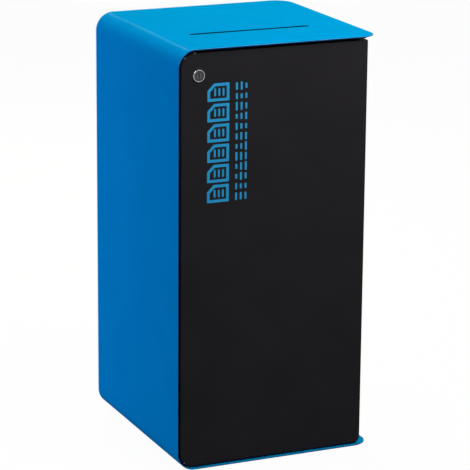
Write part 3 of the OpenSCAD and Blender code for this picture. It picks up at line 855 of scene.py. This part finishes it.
bar_length = node(sheet_tree, "ShaderNodeMath", {
    0: given["Height"], 1: BAR_PER_HEIGHT}, operation="MULTIPLY")
bar_round = node(sheet_tree, "ShaderNodeMath", {
    0: given["Bar"], 1: BAR_END_SHARE}, operation="MULTIPLY")
bar_outline = rounded(sheet_tree, given["Bar"], bar_length, bar_round, points=5)
bar = prism(sheet_tree, bar_outline, (0, 0, 0), given["Film"])
bar_step = node(sheet_tree, "ShaderNodeMath", {
    0: given["Width"], 1: STEP_PER_WIDTH}, operation="MULTIPLY")
first_bar = node(sheet_tree, "ShaderNodeMath", {
    0: bar_step, 1: FIRST_BAR_STEPS}, operation="MULTIPLY")
bar_points = node(sheet_tree, "GeometryNodeMeshLine", {
    "Count": 3,
    "Start Location": node(sheet_tree, "ShaderNodeCombineXYZ", {"X": first_bar}),
    "Offset": node(sheet_tree, "ShaderNodeCombineXYZ", {"X": bar_step}),
}, mode="OFFSET")
bars = node(sheet_tree, "GeometryNodeInstanceOnPoints", {"Points": bar_points, "Instance": bar})
mark = node(sheet_tree, "GeometryNodeJoinGeometry", {"Geometry": bars})
sheet_tree.links.new(frame_mark.outputs[0], mark.inputs["Geometry"])

mark_pitch = node(sheet_tree, "ShaderNodeCombineXYZ", {"Y": given["Pitch"]})
mark_points = node(sheet_tree, "GeometryNodeMeshLine", {
    "Count": given["Count"], "Offset": mark_pitch}, mode="OFFSET")
marks = node(sheet_tree, "GeometryNodeInstanceOnPoints", {"Points": mark_points, "Instance": mark})
standing_marks = node(sheet_tree, "GeometryNodeTransform", {
    "Geometry": marks, "Translation": given["Place"], "Rotation": UPRIGHT})
end_tree(sheet_tree, standing_marks, blue_ink)

# %% [markdown]
# ## The dashes
#
# Dashes of one length would look like a ladder, so each is made shorter by a random share. The
# random value has a fixed seed, so every run gives the same print.

# %% The dashes' tree
DASH_ROUND_SHARE = 0.3
SHORTEST_DASH = 0.5

dash_tree, given = start_tree("lines_of_dashes", {
    "Stroke": "Float", "Length": "Float", "Film": "Float", "Columns": "Int", "Column pitch": "Float",
    "Rows": "Int", "Row pitch": "Float", "Seed": "Int", "Place": "Vector"})
dash_round = node(dash_tree, "ShaderNodeMath", {
    0: given["Stroke"], 1: DASH_ROUND_SHARE}, operation="MULTIPLY")
dash_outline = rounded(dash_tree, given["Stroke"], given["Length"], dash_round, points=5)
dash = prism(dash_tree, dash_outline, (0, 0, 0), given["Film"])
grid_width, grid_height = (
    node(dash_tree, "ShaderNodeMath", {
        0: node(dash_tree, "ShaderNodeMath", {0: given[count], 1: 1}, operation="SUBTRACT"),
        1: given[pitch]}, operation="MULTIPLY")
    for count, pitch in (("Columns", "Column pitch"), ("Rows", "Row pitch")))
dash_points = node(dash_tree, "GeometryNodeMeshGrid", {
    "Size X": grid_width, "Size Y": grid_height,
    "Vertices X": given["Columns"], "Vertices Y": given["Rows"]})
share = node(dash_tree, "FunctionNodeRandomValue", {
    2: SHORTEST_DASH, 3: 1.0, "Seed": given["Seed"]}, data_type="FLOAT")
dash_scale = node(dash_tree, "ShaderNodeCombineXYZ", {"X": 1.0, "Y": share, "Z": 1.0})
dashes = node(dash_tree, "GeometryNodeInstanceOnPoints", {
    "Points": dash_points, "Instance": dash, "Scale": dash_scale})
standing_dashes = node(dash_tree, "GeometryNodeTransform", {
    "Geometry": dashes, "Translation": given["Place"], "Rotation": UPRIGHT})
end_tree(dash_tree, standing_dashes, blue_ink)

# %% [markdown]
# ## Lay the print out
#
# Both columns have the same height and start the same way below the door's top. What remains
# is to run the trees with this door's sizes, and to let the ink ride on the door, so that it
# swings with it.

# %% Print the door
INK_FILM = 0.1 * MM
PRINT_HEIGHT = 203 * MM
PRINT_BELOW_TOP = 53 * MM
SHEET_MARK_WIDTH = 39.7 * MM
SHEET_MARK_HEIGHT = 30.5 * MM
SHEET_MARKS = 6
WIDE_COLUMN_IN = 47.3 * MM
NARROW_COLUMN_MIDDLE_IN = 109 * MM
DASH_LENGTH = 15 * MM
DASH_ROWS = 12

print_top = door_high.z - PRINT_BELOW_TOP
print_foot = print_top - PRINT_HEIGHT
wide_column_middle = door_low.x + WIDE_COLUMN_IN + SHEET_MARK_WIDTH / 2
sheet_marks = run_tree(sheet_tree, "printed_sheet_marks", {
    "Width": SHEET_MARK_WIDTH, "Height": SHEET_MARK_HEIGHT, "Stroke": 5 * MM, "Fold": 12 * MM,
    "Film": INK_FILM, "Bar": 3.4 * MM, "Count": SHEET_MARKS,
    "Pitch": (PRINT_HEIGHT - SHEET_MARK_HEIGHT) / (SHEET_MARKS - 1),
    "Place": (wide_column_middle, DOOR_FACE, print_foot + SHEET_MARK_HEIGHT / 2),
})
dash_lines = run_tree(dash_tree, "printed_dashes", {
    "Stroke": 3.6 * MM, "Length": DASH_LENGTH, "Film": INK_FILM,
    "Columns": 3, "Column pitch": 8.6 * MM,
    "Rows": DASH_ROWS, "Row pitch": (PRINT_HEIGHT - DASH_LENGTH) / (DASH_ROWS - 1), "Seed": 7,
    "Place": (door_low.x + NARROW_COLUMN_MIDDLE_IN, DOOR_FACE, (print_top + print_foot) / 2),
})
for piece in (sheet_marks, dash_lines):
    clean(piece)
    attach(piece, body_of["door_skin"])

# %% [markdown]
# ## Background and floor
#
# The photograph is a cut-out on white. A strong lamp on a white backdrop would also wash out
# the object, so the white comes from the colour alone. For the camera the world is white, in
# gloss it is dimmer, so that metal keeps dark parts, and as a light it is weak, so that the
# lamps shape the object. The floor is pale and keeps a faint shadow: part of it shines white
# by itself, and the rest is lit.

# %% White world
FILL_LIGHT = (0.12, 0.135, 0.186, 1)
WHITE = (1, 1, 1, 1)
SKY_IN_GLOSS = 0.40


def seen_white(tree, in_gloss=1.0):
    """1 where a ray comes from the camera or glass, less in gloss, and 0 where it carries light."""
    ray = node(tree, "ShaderNodeLightPath").outputs
    gloss = node(tree, "ShaderNodeMath", {0: ray["Is Glossy Ray"], 1: in_gloss}, operation="MULTIPLY")
    direct = node(tree, "ShaderNodeMath", {0: ray["Is Camera Ray"], 1: gloss}, operation="MAXIMUM")
    return node(tree, "ShaderNodeMath", {
        0: direct, 1: ray["Is Transmission Ray"]}, operation="MAXIMUM")


world = bpy.data.worlds.new("white_studio")
bpy.context.scene.world = world
world.use_nodes = True
sky_tree = world.node_tree
sky_tree.nodes.clear()
sky_colour = node(sky_tree, "ShaderNodeMix", {
    "Factor": seen_white(sky_tree, SKY_IN_GLOSS), 6: FILL_LIGHT, 7: WHITE}, data_type="RGBA")
sky = node(sky_tree, "ShaderNodeBackground", {"Color": sky_colour})
node(sky_tree, "ShaderNodeOutputWorld", {"Surface": sky})
print("the world lights with", FILL_LIGHT[:3])

# %% Pale floor
FLOOR_GLOW = 0.97
FLOOR_GREY = (0.18, 0.18, 0.18, 1)
FLOOR_HALF = 8

floor_paint, floor_tree, _ = new_material("pale_floor")
seen = seen_white(floor_tree)
glow = node(floor_tree, "ShaderNodeEmission", {"Color": WHITE})
floor_colour = node(floor_tree, "ShaderNodeMix", {
    "Factor": seen, 6: FLOOR_GREY, 7: WHITE}, data_type="RGBA")
lit = node(floor_tree, "ShaderNodeBsdfDiffuse", {"Color": floor_colour})
part = node(floor_tree, "ShaderNodeMath", {0: seen, 1: FLOOR_GLOW}, operation="MULTIPLY")
mixed = node(floor_tree, "ShaderNodeMixShader", {0: part, 1: lit, 2: glow})
node(floor_tree, "ShaderNodeOutputMaterial", {"Surface": mixed})

floor_mesh = bpy.data.meshes.new("studio_floor")
floor_corners = [(x * FLOOR_HALF, y * FLOOR_HALF, 0) for x, y in ((-1, -1), (1, -1), (1, 1), (-1, 1))]
floor_mesh.from_pydata(floor_corners, [], [(0, 1, 2, 3)])
floor_mesh.materials.append(floor_paint)
floor = bpy.data.objects.new("studio_floor", floor_mesh)
bpy.context.scene.collection.objects.link(floor)
print("the floor is", 2 * FLOOR_HALF, "m wide")

# %% [markdown]
# ## Lamps
#
# Three soft boxes light the bin. The key stands in front, to the right and above, and lights
# the door and the top. A cooler one stands far out on the left and somewhat behind, about as
# high as the bin, and lights the blue side. The third is behind and above, and lights the top
# and the back.
#
# Three more lamps exist only in reflections, so that each highlight can be set by itself. One
# stands in the key's place and draws the light line on the top's front edge. One above on the
# left puts the bright spot on the lock's rim. A narrow strip behind draws the thin line where
# the top plate starts to bend. A small strip is also less noisy than a long one.

# %% A helper for soft boxes
MIDDLE = (shell_low + shell_high) / 2


def soft_box(name, place, aim, width, height, watts, tint=(1, 1, 1)):
    """A rectangular lamp that looks at a point."""
    lamp = bpy.data.objects.new(name, bpy.data.lights.new(name, "AREA"))
    bpy.context.scene.collection.objects.link(lamp)
    lamp.data.shape = "RECTANGLE"
    lamp.data.size = width
    lamp.data.size_y = height
    lamp.data.energy = watts
    lamp.data.color = tint
    lamp.location = place
    lamp.rotation_euler = (Vector(aim) - Vector(place)).to_track_quat("-Z", "Y").to_euler()
    print(name, "at", [round(v, 2) for v in place], "with", watts, "W")
    return lamp


print("the bin's middle is at", [round(v, 3) for v in MIDDLE])

# %% Set the lamps up
KEY_TINT = (1.0, 0.98, 0.88)
COOL_TINT = (0.60, 0.68, 1.0)
BACK_TINT = (1.0, 1.0, 0.68)
KEY_PLACE = (0.47, -1.02, 1.90)
KEY_AIM = (0, -0.18, 0.70)
LEFT_PLACE = (-2.25, 1.30, 0.60)
BACK_PLACE = (0, 2.08, 1.92)
STRIP_PLACE = (0.424, 2.943, 1.91)
STRIP_AIM = (-0.16, 0, shell_high.z)
RIM_PLACE = (-1.09, -0.39, 1.83)
RIM_AIM = (LOCK_X, DOOR_FACE, LOCK_Z)

key_lamp = soft_box("key_box", KEY_PLACE, KEY_AIM, 0.85, 0.65, 19.5, KEY_TINT)
key_gloss = soft_box("key_gloss", KEY_PLACE, KEY_AIM, 0.85, 0.65, 60)
left_lamp = soft_box("left_box", LEFT_PLACE, MIDDLE, 0.9, 0.9, 28, COOL_TINT)
back_lamp = soft_box("back_box", BACK_PLACE, MIDDLE, 0.9, 0.9, 45, BACK_TINT)
strip_lamp = soft_box("rear_strip", STRIP_PLACE, STRIP_AIM, 0.12, 1.2, 34)
rim_lamp = soft_box("rim_gloss", RIM_PLACE, RIM_AIM, 0.7, 0.7, 7)
for lamp in (key_lamp, left_lamp, back_lamp):
    lamp.visible_glossy = False
for lamp in (key_gloss, strip_lamp, rim_lamp):
    lamp.visible_diffuse = False
bpy.context.scene.view_settings.view_transform = "Standard"
